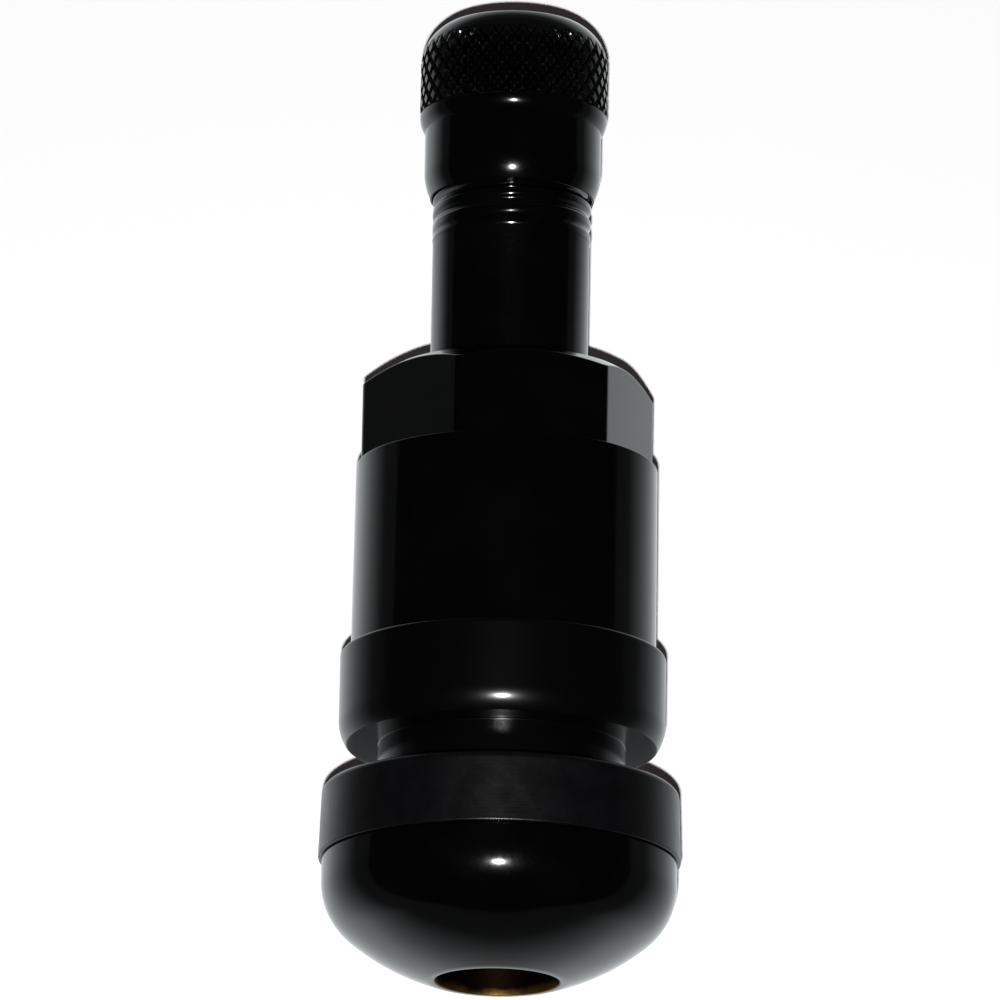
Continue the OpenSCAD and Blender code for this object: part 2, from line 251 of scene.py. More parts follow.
def unrolled_sheet(tree, columns, rows):
    """A flat sheet of columns and rows, with its place across and up as shares from 0 to 1."""
    sheet = tree.nodes.new("GeometryNodeMeshGrid")
    wire(tree, calc(tree, "ADD", columns, 1), sheet.inputs["Vertices X"])
    wire(tree, calc(tree, "ADD", rows, 1), sheet.inputs["Vertices Y"])
    place = tree.nodes.new("ShaderNodeSeparateXYZ")
    tree.links.new(tree.nodes.new("GeometryNodeInputPosition").outputs[0], place.inputs[0])
    across, up = (calc(tree, "ADD", place.outputs[axis], 0.5) for axis in ("X", "Y"))
    return sheet.outputs["Mesh"], across, up


def rolled(tree, mesh, across, r, z):
    """Rolls a sheet round the axis, with a radius and a height for each of its points."""
    angle = calc(tree, "MULTIPLY", across, 2 * math.pi)
    place = tree.nodes.new("ShaderNodeCombineXYZ")
    wire(tree, calc(tree, "MULTIPLY", r, calc(tree, "COSINE", angle)), place.inputs["X"])
    wire(tree, calc(tree, "MULTIPLY", r, calc(tree, "SINE", angle)), place.inputs["Y"])
    wire(tree, z, place.inputs["Z"])
    move = tree.nodes.new("GeometryNodeSetPosition")
    tree.links.new(mesh, move.inputs["Geometry"])
    tree.links.new(place.outputs[0], move.inputs["Position"])
    return move.outputs["Geometry"]


def close_rule(tree, mesh, material):
    """Ends a tree: seams welded, instances made real and the material set."""
    weld = tree.nodes.new("GeometryNodeMergeByDistance")
    weld.inputs["Distance"].default_value = WELD
    real = tree.nodes.new("GeometryNodeRealizeInstances")
    paint = tree.nodes.new("GeometryNodeSetMaterial")
    end = tree.nodes.new("NodeGroupOutput")
    tree.links.new(mesh, weld.inputs["Geometry"])
    tree.links.new(weld.outputs["Geometry"], real.inputs["Geometry"])
    tree.links.new(real.outputs["Geometry"], paint.inputs["Geometry"])
    tree.links.new(material, paint.inputs["Material"])
    tree.links.new(paint.outputs["Geometry"], end.inputs[0])


def grown(name, tree, values):
    """Runs a tree once, and gives its result as a plain mesh object."""
    piece = bpy.data.objects.new(name, bpy.data.meshes.new(name))
    bpy.context.collection.objects.link(piece)
    modifier = piece.modifiers.new(name, "NODES")
    modifier.node_group = tree
    for item in tree.interface.items_tree:
        if item.in_out == "INPUT":
            modifier[item.identifier] = values[item.name]
    graph = bpy.context.evaluated_depsgraph_get()
    mesh = bpy.data.meshes.new_from_object(piece.evaluated_get(graph))
    piece.modifiers.clear()
    piece.data = mesh
    return piece


print("helpers for rules: new_rule, unrolled_sheet, rolled, close_rule, grown")

# %% [markdown]
# ## Effects that the finishes share
#
# Three effects are built once, as node groups that any finish can use. Fine grain is the unevenness of any
# cast, dipped or moulded skin. Turning lines are the hair-thin rings that a lathe tool leaves. Edge wear
# lightens what stands out and gets touched. The mesh itself knows where that is, so each coated piece
# carries a point attribute that is 1 on its outer edges.

# %% Build the shared shader groups
GRAIN_DETAIL, PATCH_DETAIL, SPOT_DETAIL = 3.0, 2.0, 4.0
PATCH_EDGES = (0.35, 0.65)
SPOT_LIFT = 0.3


def new_effect(name, inputs, outputs):
    """A shader node group with float inputs and outputs; returns the tree, its inputs and its output node."""
    tree = bpy.data.node_groups.new(name, "ShaderNodeTree")
    for label, value in inputs.items():
        tree.interface.new_socket(label, in_out="INPUT", socket_type="NodeSocketFloat").default_value = value
    for label in outputs:
        tree.interface.new_socket(label, in_out="OUTPUT", socket_type="NodeSocketFloat")
    return tree, tree.nodes.new("NodeGroupInput").outputs, tree.nodes.new("NodeGroupOutput").inputs


def object_place(tree):
    return tree.nodes.new("ShaderNodeTexCoord").outputs["Object"]


def noise(tree, vector, scale, detail=GRAIN_DETAIL):
    node = tree.nodes.new("ShaderNodeTexNoise")
    wire(tree, vector, node.inputs["Vector"])
    wire(tree, scale, node.inputs["Scale"])
    node.inputs["Detail"].default_value = detail
    return node.outputs["Fac"]


def build_fine_grain():
    inputs = {"Grain per mm": 6.0, "Patches per mm": 0.5}
    tree, given, out = new_effect("Fine grain", inputs, ("Grain", "Patches"))
    place = object_place(tree)
    wire(tree, noise(tree, place, calc(tree, "DIVIDE", given["Grain per mm"], MM)), out["Grain"])
    patches = noise(tree, place, calc(tree, "DIVIDE", given["Patches per mm"], MM), PATCH_DETAIL)
    wire(tree, smooth_step(tree, patches, *PATCH_EDGES), out["Patches"])
    return tree


def build_turning_lines():
    tree, given, out = new_effect("Turning lines", {"Lines per mm": 12.0}, ("Lines",))
    parts = tree.nodes.new("ShaderNodeSeparateXYZ")
    tree.links.new(object_place(tree), parts.inputs[0])
    squares = [calc(tree, "POWER", parts.outputs[axis], 2.0) for axis in ("X", "Y")]
    ring = tree.nodes.new("ShaderNodeCombineXYZ")
    wire(tree, calc(tree, "SQRT", calc(tree, "ADD", *squares)), ring.inputs["X"])
    wire(tree, parts.outputs["Z"], ring.inputs["Y"])
    wire(tree, noise(tree, ring.outputs[0], calc(tree, "DIVIDE", given["Lines per mm"], MM)), out["Lines"])
    return tree


def build_edge_wear():
    tree, given, out = new_effect("Edge wear", {"Start": 0.3, "Spots per mm": 1.5}, ("Wear",))
    edge = tree.nodes.new("ShaderNodeAttribute")
    edge.attribute_name = "edge"
    spots = noise(tree, object_place(tree), calc(tree, "DIVIDE", given["Spots per mm"], MM), SPOT_DETAIL)
    touched = calc(tree, "MULTIPLY", edge.outputs["Fac"], calc(tree, "ADD", spots, SPOT_LIFT))
    wire(tree, smooth_step(tree, touched, given["Start"], 1.0), out["Wear"])
    return tree


FINE_GRAIN, TURNING_LINES, EDGE_WEAR = build_fine_grain(), build_turning_lines(), build_edge_wear()
print("shared effects:", FINE_GRAIN.name, TURNING_LINES.name, EDGE_WEAR.name)

# %% [markdown]
# ## Helpers for finishes
#
# A finish is a Principled shader whose colour, roughness and normal vary with the shared effects. Each
# helper places one kind of node, so that a finish can be read from top to bottom.

# %% Helpers for finishes
def effect(tree, group, **values):
    """Places a shared effect with its own values, and returns its outputs."""
    node = tree.nodes.new("ShaderNodeGroup")
    node.node_tree = group
    for name, value in values.items():
        node.inputs[name.replace("_", " ")].default_value = value
    return node.outputs


def between(tree, share, start, end):
    """A number that runs from start to end with a share from 0 to 1."""
    return calc(tree, "MULTIPLY_ADD", share, end - start, start)


def blended(tree, share, first, second):
    """A colour that runs from the first to the second with a share from 0 to 1."""
    node = tree.nodes.new("ShaderNodeMix")
    node.data_type = "RGBA"
    wire(tree, share, node.inputs["Factor"])
    wire(tree, (*first, 1.0), node.inputs[6])
    wire(tree, (*second, 1.0), node.inputs[7])
    return node.outputs[2]


def bumped(tree, height, depth):
    """A normal from a height that changes over the surface; depth is in metres."""
    node = tree.nodes.new("ShaderNodeBump")
    node.inputs["Distance"].default_value = depth
    wire(tree, height, node.inputs["Height"])
    return node.outputs["Normal"]


def new_finish(name):
    """A material and its tree, with its Principled shader."""
    material = bpy.data.materials.new(name)
    material.use_nodes = True
    return material, material.node_tree, material.node_tree.nodes["Principled BSDF"].inputs


print("helpers for finishes: effect, between, blended, bumped, new_finish")

# %% [markdown]
# ## Black coat
#
# The stem, nut and cap are brass under a thin, glossy black coat. It could be a dark metal, but a metal
# mirrors in all directions alike. A coat is a dielectric: black under the gloss, and brighter towards its
# sides, where it mirrors the pale surroundings. Wear on the edges shows only as a hint.

# %% Make the black coat
COAT_DARK, COAT_PALE = (0.0004, 0.0004, 0.0005), (0.0009, 0.0009, 0.0011)
COAT_ROUGH = (0.08, 0.14)
COAT_WORN, WORN_SHARE, WORN_ROUGH = (0.06, 0.05, 0.045), 0.25, 0.1
LINES_SHARE, COAT_RELIEF = 0.6, 0.0006


def black_coat():
    material, tree, shader = new_finish("Black coat")
    grain = effect(tree, FINE_GRAIN, Grain_per_mm=5.0, Patches_per_mm=0.35)
    lines = effect(tree, TURNING_LINES, Lines_per_mm=9.0)["Lines"]
    wear = effect(tree, EDGE_WEAR, Start=0.45, Spots_per_mm=1.8)["Wear"]
    dark = blended(tree, grain["Patches"], COAT_DARK, COAT_PALE)
    worn = blended(tree, calc(tree, "MULTIPLY", wear, WORN_SHARE), (0, 0, 0), COAT_WORN)
    both = tree.nodes.new("ShaderNodeMix")
    both.data_type, both.blend_type = "RGBA", "ADD"
    both.inputs["Factor"].default_value = 1.0
    wire(tree, dark, both.inputs[6])
    wire(tree, worn, both.inputs[7])
    wire(tree, both.outputs[2], shader["Base Color"])
    gloss = between(tree, grain["Grain"], *COAT_ROUGH)
    wire(tree, calc(tree, "MULTIPLY_ADD", wear, WORN_ROUGH, gloss), shader["Roughness"])
    pits = calc(tree, "MULTIPLY", grain["Grain"], 1 - LINES_SHARE)
    relief = calc(tree, "MULTIPLY_ADD", lines, LINES_SHARE, pits)
    wire(tree, bumped(tree, relief, COAT_RELIEF * MM), shader["Normal"])
    return material


COAT = black_coat()
print("finish:", COAT.name)

# %% [markdown]
# ## Rubber
#
# Rubber is duller than the coat. On the flange a pale bloom mottles it, and the mould has left fine rings
# there. A second material could do that, but one that changes with the height keeps the seal in one piece.
# The core's small gasket is red.

# %% Make the rubbers
RUBBER_SPECULAR = 0.32
RUBBER_DARK, RUBBER_BLOOM = (0.001, 0.001, 0.0012), (0.0034, 0.003, 0.0038)
RUBBER_ROUGH, RUBBER_RELIEF = (0.2, 0.36), 0.004
FLANGE_EASE, BLOOM_LEAST, RING_PITS = 0.4, 0.5, 0.25
RED_DARK, RED_PALE, RED_ROUGH = (0.42, 0.03, 0.02), (0.55, 0.05, 0.035), (0.45, 0.65)
PIT_RELIEF = 0.01


def black_rubber():
    material, tree, shader = new_finish("Black rubber")
    shader["Specular IOR Level"].default_value = RUBBER_SPECULAR
    grain = effect(tree, FINE_GRAIN, Grain_per_mm=3.5, Patches_per_mm=0.9)
    lines = effect(tree, TURNING_LINES, Lines_per_mm=14.0)["Lines"]
    bloom = calc(tree, "MULTIPLY", grain["Patches"], grain["Grain"])
    parts = tree.nodes.new("ShaderNodeSeparateXYZ")
    tree.links.new(object_place(tree), parts.inputs[0])
    over_flange = smooth_step(tree, parts.outputs["Z"], -FLANGE_EASE * MM, FLANGE_EASE * MM)
    flange = calc(tree, "SUBTRACT", 1.0, over_flange)
    dull = calc(tree, "MULTIPLY", flange, between(tree, bloom, BLOOM_LEAST, 1.0))
    wire(tree, blended(tree, dull, RUBBER_DARK, RUBBER_BLOOM), shader["Base Color"])
    wire(tree, between(tree, dull, *RUBBER_ROUGH), shader["Roughness"])
    ringed = calc(tree, "MULTIPLY", lines, flange)
    pitted = calc(tree, "MULTIPLY", grain["Grain"], between(tree, flange, RING_PITS, 1.0))
    relief = calc(tree, "ADD", ringed, pitted)
    wire(tree, bumped(tree, relief, RUBBER_RELIEF * MM), shader["Normal"])
    return material


def red_rubber():
    material, tree, shader = new_finish("Red rubber")
    grain = effect(tree, FINE_GRAIN, Grain_per_mm=6.0, Patches_per_mm=1.2)
    wire(tree, blended(tree, grain["Patches"], RED_DARK, RED_PALE), shader["Base Color"])
    wire(tree, between(tree, grain["Grain"], *RED_ROUGH), shader["Roughness"])
    wire(tree, bumped(tree, grain["Grain"], PIT_RELIEF * MM), shader["Normal"])
    return material


RUBBER, RED_RUBBER = black_rubber(), red_rubber()
print("finishes:", RUBBER.name, RED_RUBBER.name)

# %% [markdown]
# ## Bare metals
#
# Bare brass shows only where air and the core pass, and there it darkens away from the open ends. That is
# painted shade, since one plain brass would be too bright in there, so it follows the depth in the bore.
# The core's pin and spring are steel.

# %% Make the bare metals
SMOOTHER, ROUGHER, LINES_RELIEF = 0.08, 0.1, 0.006
# Painted shade in the bore: where it starts, where it is full and how uneven it is, then the brass colour
# near the open ends, the painted shade deeper in, and the roughness.
BORE_SHADE_FROM, BORE_SHADE_FULL, BORE_SHADE_UNEVEN = 0.1, 0.6, 0.3
BORE_BRASS_UNSHADED, BORE_PAINTED_SHADE, BORE_BRASS_ROUGH = (0.16, 0.085, 0.02), (0.006, 0.003, 0.002), (0.4, 0.6)


def bare_metal(name, dull, bright, rough):
    material, tree, shader = new_finish(name)
    shader["Metallic"].default_value = 1.0
    grain = effect(tree, FINE_GRAIN, Grain_per_mm=4.0, Patches_per_mm=0.6)
    lines = effect(tree, TURNING_LINES, Lines_per_mm=14.0)["Lines"]
    wire(tree, blended(tree, grain["Patches"], dull, bright), shader["Base Color"])
    wire(tree, between(tree, lines, rough - SMOOTHER, rough + ROUGHER), shader["Roughness"])
    wire(tree, bumped(tree, lines, LINES_RELIEF * MM), shader["Normal"])
    return material


def bore_shaded_brass():
    material, tree, shader = new_finish("Brass with painted bore shade")
    shader["Metallic"].default_value = 1.0
    parts = tree.nodes.new("ShaderNodeSeparateXYZ")
    tree.links.new(object_place(tree), parts.inputs[0])
    from_foot = calc(tree, "SUBTRACT", parts.outputs["Z"], FOOT_Z * MM)
    from_top = calc(tree, "SUBTRACT", STEM_TOP_Z * MM, parts.outputs["Z"])
    grain = effect(tree, FINE_GRAIN, Grain_per_mm=4.0, Patches_per_mm=0.8)
    # The brass darkens with depth from the nearer open end: painted shade in the bore.
    nearest = calc(tree, "MINIMUM", from_foot, from_top)
    depth = calc(tree, "MULTIPLY_ADD", grain["Patches"], BORE_SHADE_UNEVEN * MM, nearest)
    painted_bore_shade = smooth_step(tree, depth, BORE_SHADE_FROM * MM, BORE_SHADE_FULL * MM)
    wire(tree, blended(tree, painted_bore_shade, BORE_BRASS_UNSHADED, BORE_PAINTED_SHADE), shader["Base Color"])
    wire(tree, between(tree, grain["Grain"], *BORE_BRASS_ROUGH), shader["Roughness"])
    wire(tree, bumped(tree, grain["Grain"], PIT_RELIEF * MM), shader["Normal"])
    return material


BRASS = bare_metal("Bare brass", dull=(0.5, 0.3, 0.1), bright=(0.74, 0.5, 0.2), rough=0.3)
# Brass for the bore, with painted shade that deepens away from the open ends.
BORE_SHADED_BRASS = bore_shaded_brass()
STEEL = bare_metal("Bright steel", dull=(0.5, 0.5, 0.52), bright=(0.66, 0.66, 0.68), rough=0.24)
print("finishes:", BRASS.name, BORE_SHADED_BRASS.name, STEEL.name)

# %% [markdown]
# ## The screw thread as a rule
#
# A thread is a groove that climbs one pitch for each turn. A curve swept along a helix would cross the
# stem's surface and leave hidden faces inside. A rule is cleaner: a sheet is rolled into a tube, and each
# point's radius follows from where it lies on the climbing profile. Towards both ends the groove runs out,
# so the rims are plain circles to weld.

# %% Build the thread's tree
CREST_HALF, ROOT_FROM = 0.14, 0.46


def build_thread():
    tree, given = new_rule(
        "Screw thread", Radius="Float", Depth="Float", Pitch="Float", Low="Float", High="Float",
        Low_run="Float", High_run="Float", Columns="Int", Rows="Int", Finish="Material",
    )
    sheet, across, up = unrolled_sheet(tree, given["Columns"], given["Rows"])
    z = calc(tree, "MULTIPLY_ADD", up, calc(tree, "SUBTRACT", given["High"], given["Low"]), given["Low"])
    turns = calc(tree, "SUBTRACT", calc(tree, "DIVIDE", z, given["Pitch"]), across)
    flank = calc(tree, "PINGPONG", turns, 0.5)
    groove = smooth_step(tree, flank, CREST_HALF, ROOT_FROM)
    from_low = calc(tree, "DIVIDE", calc(tree, "SUBTRACT", z, given["Low"]), given["Low_run"])
    from_high = calc(tree, "DIVIDE", calc(tree, "SUBTRACT", given["High"], z), given["High_run"])
    share = calc(tree, "MINIMUM", calc(tree, "MINIMUM", from_low, from_high), 1.0)
    cut = calc(tree, "MULTIPLY", groove, share)
    r = calc(tree, "SUBTRACT", given["Radius"], calc(tree, "MULTIPLY", cut, given["Depth"]))
    close_rule(tree, rolled(tree, sheet, across, r, z), given["Finish"])
    return tree


THREAD = build_thread()
PITCH = 0.794
ROWS_PER_TURN = 16


def thread_tube(name, r, depth, z_low, z_high, low_run, columns, finish):
    """An open tube with a thread, whose rims are plain circles; lengths in mm."""
    rows = round((z_high - z_low) / PITCH * ROWS_PER_TURN)
    return grown(name, THREAD, {
        "Radius": r * MM, "Depth": depth * MM, "Pitch": PITCH * MM, "Low": z_low * MM, "High": z_high * MM,
        "Low_run": low_run * MM, "High_run": PITCH * MM, "Columns": columns, "Rows": rows, "Finish": finish,
    })


print("thread rule:", len(THREAD.nodes), "nodes")

# %% [markdown]
# ## Stem and foot
#
# The stem and its foot are one turned piece. The foot's underside is a dome with a soft edge, pierced by
# the air hole. Above the nut the stem is plain for a while, and then carries the thread that the cap screws
# on. The outline starts and ends at the rims of that thread, so the two parts weld into one closed skin.

# %% Draw the stem and foot
BODY_COLUMNS = 144
STEM_R, STEM_CHAMFER = 3.875, 0.4
THREAD_DEPTH, THREAD_RUN = 0.36, 3.2
SHANK_STEP, SHANK_STEP_H, SHANK_STEPS = 0.03, 0.1, 4
NUT_THREAD_R = 4.5
DOME_R, FOOT_EDGE_R = 11.5, 3.4
INLET_R, INLET_RIM, INLET_DEPTH = 3.0, 0.3, 6.5
PASSAGE_R, SEAT_R, CORE_BORE_R = 1.95, 2.4, 2.64
FINE_EDGE, HOLE_EDGE, BAND_EDGE = 0.05, 0.06, 0.12
DOME_STEPS, FOOT_EDGE_STEPS = 28, 14
CONE_BELOW_NUT, THREAD_BELOW_CAP, THREAD_TOP_GAP = 3.4, 2.2, 0.1
CONE_TOP_Z = NUT_TOP_Z - CONE_BELOW_NUT
THREAD_LOW_Z = CAP_Z - THREAD_BELOW_CAP
THREAD_HIGH_Z = STEM_TOP_Z - STEM_CHAMFER - THREAD_TOP_GAP


def foot_outline():
    """The foot from the air hole's rim, over the dome and its edge, to the top of the band."""
    dome_z = FOOT_Z + math.sqrt(DOME_R ** 2 - (INLET_R + INLET_RIM) ** 2)
    edge_x = FOOT_R - FOOT_EDGE_R
    edge_z = dome_z - math.sqrt((DOME_R - FOOT_EDGE_R) ** 2 - edge_x ** 2)
    start = math.degrees(math.asin((INLET_R + INLET_RIM) / DOME_R)) - 90
    join = math.degrees(math.atan2(edge_z - dome_z, edge_x))
    return (
        arc((0, dome_z), DOME_R, start, join, DOME_STEPS)[:-1]
        + arc((edge_x, edge_z), FOOT_EDGE_R, join, 0, FOOT_EDGE_STEPS)
        + [(FOOT_R, FOOT_TOP_Z, BAND_EDGE)]
    )


def body_outline():
    """The whole body, from the top rim of the thread, down the bore and up outside to its lower rim."""
    thread_end_z = (PLUG_Z + SEAT_TOP_Z) / 2
    inlet_z = FOOT_Z + INLET_DEPTH
    mouth_r = CORE_BORE_R + STEM_CHAMFER
    shank_step = [
        (STEM_R - SHANK_STEP * k / SHANK_STEPS, THREAD_LOW_Z - SHANK_STEP_H * k / SHANK_STEPS, 0)
        for k in range(SHANK_STEPS, -1, -1)
    ]
    return [
        (STEM_R, THREAD_HIGH_Z, 0),
        (STEM_R, STEM_TOP_Z - STEM_CHAMFER, FINE_EDGE),
        (STEM_R - STEM_CHAMFER, STEM_TOP_Z, FINE_EDGE),
        (mouth_r, STEM_TOP_Z, FINE_EDGE),
        (CORE_BORE_R, STEM_TOP_Z - STEM_CHAMFER, FINE_EDGE),
        (CORE_BORE_R, thread_end_z, 0),
        (SEAT_R, thread_end_z, 0),
        (SEAT_R, SEAT_TOP_Z, 0),
        (PASSAGE_R, SEAT_Z, 0),
        (PASSAGE_R, inlet_z + INLET_R - PASSAGE_R, 0),
        (INLET_R, inlet_z, 0),
        (INLET_R, FOOT_Z, HOLE_EDGE),
        *foot_outline(),
        (NUT_THREAD_R, FOOT_TOP_Z, 0),
        (NUT_THREAD_R, CONE_TOP_Z - NUT_THREAD_R + STEM_R, 0),
        (STEM_R - SHANK_STEP, CONE_TOP_Z, 0),
        *shank_step,
    ]


print("stem outline:", len(body_outline()), "corners")

# %% [markdown]
# ## The body in one skin
#
# The coat doesn't reach far into the bore. A second object could line it, but its faces would lie on the
# body's own. Instead the faces that look at the axis get the bare metal.

# %% Weld the stem, foot and thread
def bare_bore(piece, finish, reach):
    """Gives the finish to faces that look at the axis within a reach, where the coat doesn't get in."""
    piece.data.materials.append(finish)
    for face in piece.data.polygons:
        across = Vector((face.center.x, face.center.y, 0))
        if across.length < reach * MM and face.normal.dot(across) < 0:
            face.material_index = 1


body_thread = thread_tube(
    "stem_thread", STEM_R, THREAD_DEPTH, THREAD_LOW_Z, THREAD_HIGH_Z, THREAD_RUN, BODY_COLUMNS, COAT)
body_skin = turned("stem_skin", body_outline(), BODY_COLUMNS, closed=False)
valve_body = welded("valve_body_dressed", body_skin, body_thread)
valve_body.data.materials.clear()
valve_body.data.materials.append(COAT)
# The bore's faces get the brass with painted shade.
bare_bore(valve_body, BORE_SHADED_BRASS, INLET_R + INLET_RIM)
print("stem and foot:", len(valve_body.data.polygons), "faces")

# %% [markdown]
# ## Rubber rim seal
#
# The seal is moulded rubber with a flange inside the rim, a neck in the rim's hole and a ring that the nut
# presses. It is round all the way, so one swept outline is enough. Rubber has no sharp edges, so each
# corner in sight has a rounding, also where the neck meets its neighbours. The ring's side bends in a
# little towards its lower edge.

# %% Make the rim seal
SEAL_COLUMNS = 160
SEAL_BORE_R = 4.53
FLANGE_DRAFT, FLANGE_EDGE_R, FLANGE_FOOT_R = 0.12, 0.35, 0.1
NECK_R, NECK_DRAFT, NECK_FILLET = 6.15, 0.2, 0.05
RING_R, RING_EDGE_R, RING_TOP_R = 7.9, 0.06, 0.2
RING_SWELL, RING_SWELL_H = 0.36, 1.15
GROOVE_W = 2.2

ring_side = swelling(RING_R, GROOVE_W, RING_SWELL, RING_SWELL_H)
rim_seal = turned("rim_seal_dressed", [
    (SEAL_BORE_R, FOOT_TOP_Z, 0),
    (FLANGE_R, FOOT_TOP_Z, FLANGE_FOOT_R),
    (FLANGE_R - FLANGE_DRAFT, 0, FLANGE_EDGE_R),
    (NECK_R, 0, NECK_FILLET),
    (NECK_R - NECK_DRAFT, GROOVE_W, NECK_FILLET),
    (RING_R - RING_SWELL, GROOVE_W, RING_EDGE_R),
    *ring_side[1:],
    (RING_R, RING_TOP_Z, RING_TOP_R),
    (SEAL_BORE_R, RING_TOP_Z, 0),
], SEAL_COLUMNS)
rim_seal.data.materials.append(RUBBER)
print("rim seal:", len(rim_seal.data.polygons), "faces")

# %% [markdown]
# ## Sleeve nut
#
# The nut is round below and hexagonal above, with a cone turned on its top. A Boolean of a prism and a cone
# would leave ragged triangles along the curved edges. Here each direction round the axis gets its own
# outline: the distance to the nearest flat sets the radius, and the cone sets where the flat ends. The
# directions crowd together at the hexagon's corners, which a soft minimum rounds.

# %% Make the sleeve nut
NUT_R, NUT_TAPER, NUT_EDGE_R = 7.4, 0.06, 0.08
NUT_SKIRT_H = 9.4
HEX_FLAT_R, HEX_CORNER_R = 6.3, 7.2
HEX_TURN = math.radians(10.5)
HEX_SOFT = 0.02
HEX_STEPS = 20
NUT_TOP_R, NUT_CONE = 5.9, math.tan(math.radians(30))
NUT_BORE_R, NUT_HOLE_R, NUT_WEB_H, NUT_LEAD = 4.58, 3.955, 3.0, 0.4
STEP_EDGE, HEX_FOOT_EDGE, HEX_TOP_EDGE, NUT_TOP_EDGE = 0.06, 0.04, 0.1, 0.12
HEX_Z = RING_TOP_Z + NUT_SKIRT_H
SECTOR = math.radians(60)
FACING = 1.5


def soft_least(values, softness):
    """The least of some values, eased where two of them are nearly alike."""
    return -softness * math.log(sum(math.exp(-v / softness) for v in values))


def nut_angles():
    """Directions round the nut, closer together towards the six corners."""
    crowd = [1 - (1 - k / HEX_STEPS) ** 2 for k in range(HEX_STEPS)]
    sector = [-c for c in reversed(crowd[1:])] + crowd
    return [HEX_TURN + SECTOR * (side + 0.5 + share / 2) for side in range(6) for share in [-1] + sector]


def nut_outline(angle):
    """The nut's closed outline in one direction, with its radius from the flats that face it."""
    off_flat = (angle - HEX_TURN) % SECTOR - SECTOR / 2
    turns = [off_flat + side * SECTOR for side in (-1, 0, 1)]
    flats = [HEX_FLAT_R / math.cos(turn) for turn in turns if abs(turn) < FACING]
    hex_r = soft_least(flats + [HEX_CORNER_R], HEX_SOFT)
    web_z = NUT_TOP_Z - NUT_WEB_H
    return rounded([
        (NUT_BORE_R + NUT_LEAD, RING_TOP_Z, FINE_EDGE),
        (NUT_R, RING_TOP_Z, NUT_EDGE_R),
        (NUT_R - NUT_TAPER, HEX_Z, STEP_EDGE),
        (hex_r, HEX_Z, HEX_FOOT_EDGE),
        (hex_r, NUT_TOP_Z - (hex_r - NUT_TOP_R) * NUT_CONE, HEX_TOP_EDGE),
        (NUT_TOP_R, NUT_TOP_Z, NUT_TOP_EDGE),
        (NUT_HOLE_R + NUT_LEAD, NUT_TOP_Z, FINE_EDGE),
        (NUT_HOLE_R, NUT_TOP_Z - NUT_LEAD, FINE_EDGE),
        (NUT_HOLE_R, web_z, 0),
        (NUT_BORE_R, web_z, 0),
        (NUT_BORE_R, RING_TOP_Z + NUT_LEAD, FINE_EDGE),
    ])


sleeve_nut = swept("sleeve_nut_dressed", nut_angles(), nut_outline)
sleeve_nut.data.materials.append(COAT)
print("sleeve nut:", len(sleeve_nut.data.polygons), "faces")

# %% [markdown]
# ## The knurl as a rule
#
# A knurling wheel presses two sets of crossing grooves into the cap, and what stands between them is a
# diamond with a small flat top. The rule says the same: each point is as high as the nearer of two grooves
# is far, up to the flat. The blank's rounded end is the second limit, so the diamonds run out on the
# rounding where it dips below the grooves.

# %% Build the knurl's tree
def build_knurl():
    tree, given = new_rule(
        "Diamond knurl", Valley_radius="Float", Depth="Float", Low="Float", High="Float", Diamonds="Int",
        Half_rows="Int", Steps="Int", Flat_from="Float", Round_from="Float", Rounding="Float",
        Finish="Material",
    )
    columns = calc(tree, "MULTIPLY", calc(tree, "MULTIPLY", given["Diamonds"], 2.0), given["Steps"])
    rows = calc(tree, "MULTIPLY", given["Half_rows"], given["Steps"])
    sheet, across, up = unrolled_sheet(tree, columns, rows)
    climb = calc(tree, "MULTIPLY", up, calc(tree, "MULTIPLY", given["Half_rows"], 0.5))
    round_place = calc(tree, "MULTIPLY", across, given["Diamonds"])
    left = calc(tree, "PINGPONG", calc(tree, "ADD", round_place, climb), 0.5)
    right = calc(tree, "PINGPONG", calc(tree, "SUBTRACT", round_place, climb), 0.5)
    slope = calc(tree, "MULTIPLY", calc(tree, "MINIMUM", left, right), 2.0)
    height = calc(tree, "DIVIDE", calc(tree, "MINIMUM", slope, given["Flat_from"]), given["Flat_from"])
    rim = calc(tree, "MINIMUM", up, calc(tree, "SUBTRACT", 1.0, up))
    inside = calc(tree, "MINIMUM", calc(tree, "MULTIPLY", rim, rows), 1.0)
    raised = calc(tree, "MULTIPLY", height, inside)
    pressed = calc(tree, "MULTIPLY_ADD", raised, given["Depth"], given["Valley_radius"])
    z = calc(tree, "MULTIPLY_ADD", up, calc(tree, "SUBTRACT", given["High"], given["Low"]), given["Low"])
    over = calc(tree, "MAXIMUM", calc(tree, "SUBTRACT", z, given["Round_from"]), 0.0)
    squares = [calc(tree, "POWER", length, 2.0) for length in (given["Rounding"], over)]
    drop = calc(tree, "SUBTRACT", given["Rounding"], calc(tree, "SQRT", calc(tree, "SUBTRACT", *squares)))
    blank = calc(tree, "SUBTRACT", calc(tree, "ADD", given["Valley_radius"], given["Depth"]), drop)
    r = calc(tree, "MINIMUM", pressed, blank)
    facets = tree.nodes.new("GeometryNodeTriangulate")
    facets.quad_method = "SHORTEST_DIAGONAL"
    tree.links.new(rolled(tree, sheet, across, r, z), facets.inputs["Mesh"])
    close_rule(tree, facets.outputs["Mesh"], given["Finish"])
    return tree


KNURL = build_knurl()
print("knurl rule:", len(KNURL.nodes), "nodes")

# %% [markdown]
# ## Knurled dust cap
#
# Apart from its knurl the cap is turned, with its own thread inside. It could be cut from one cylinder by
# Booleans, but parts that meet at plain rims weld into a cleaner skin. Skirt and shoulder swell in soft
# arcs, as on the real cap.

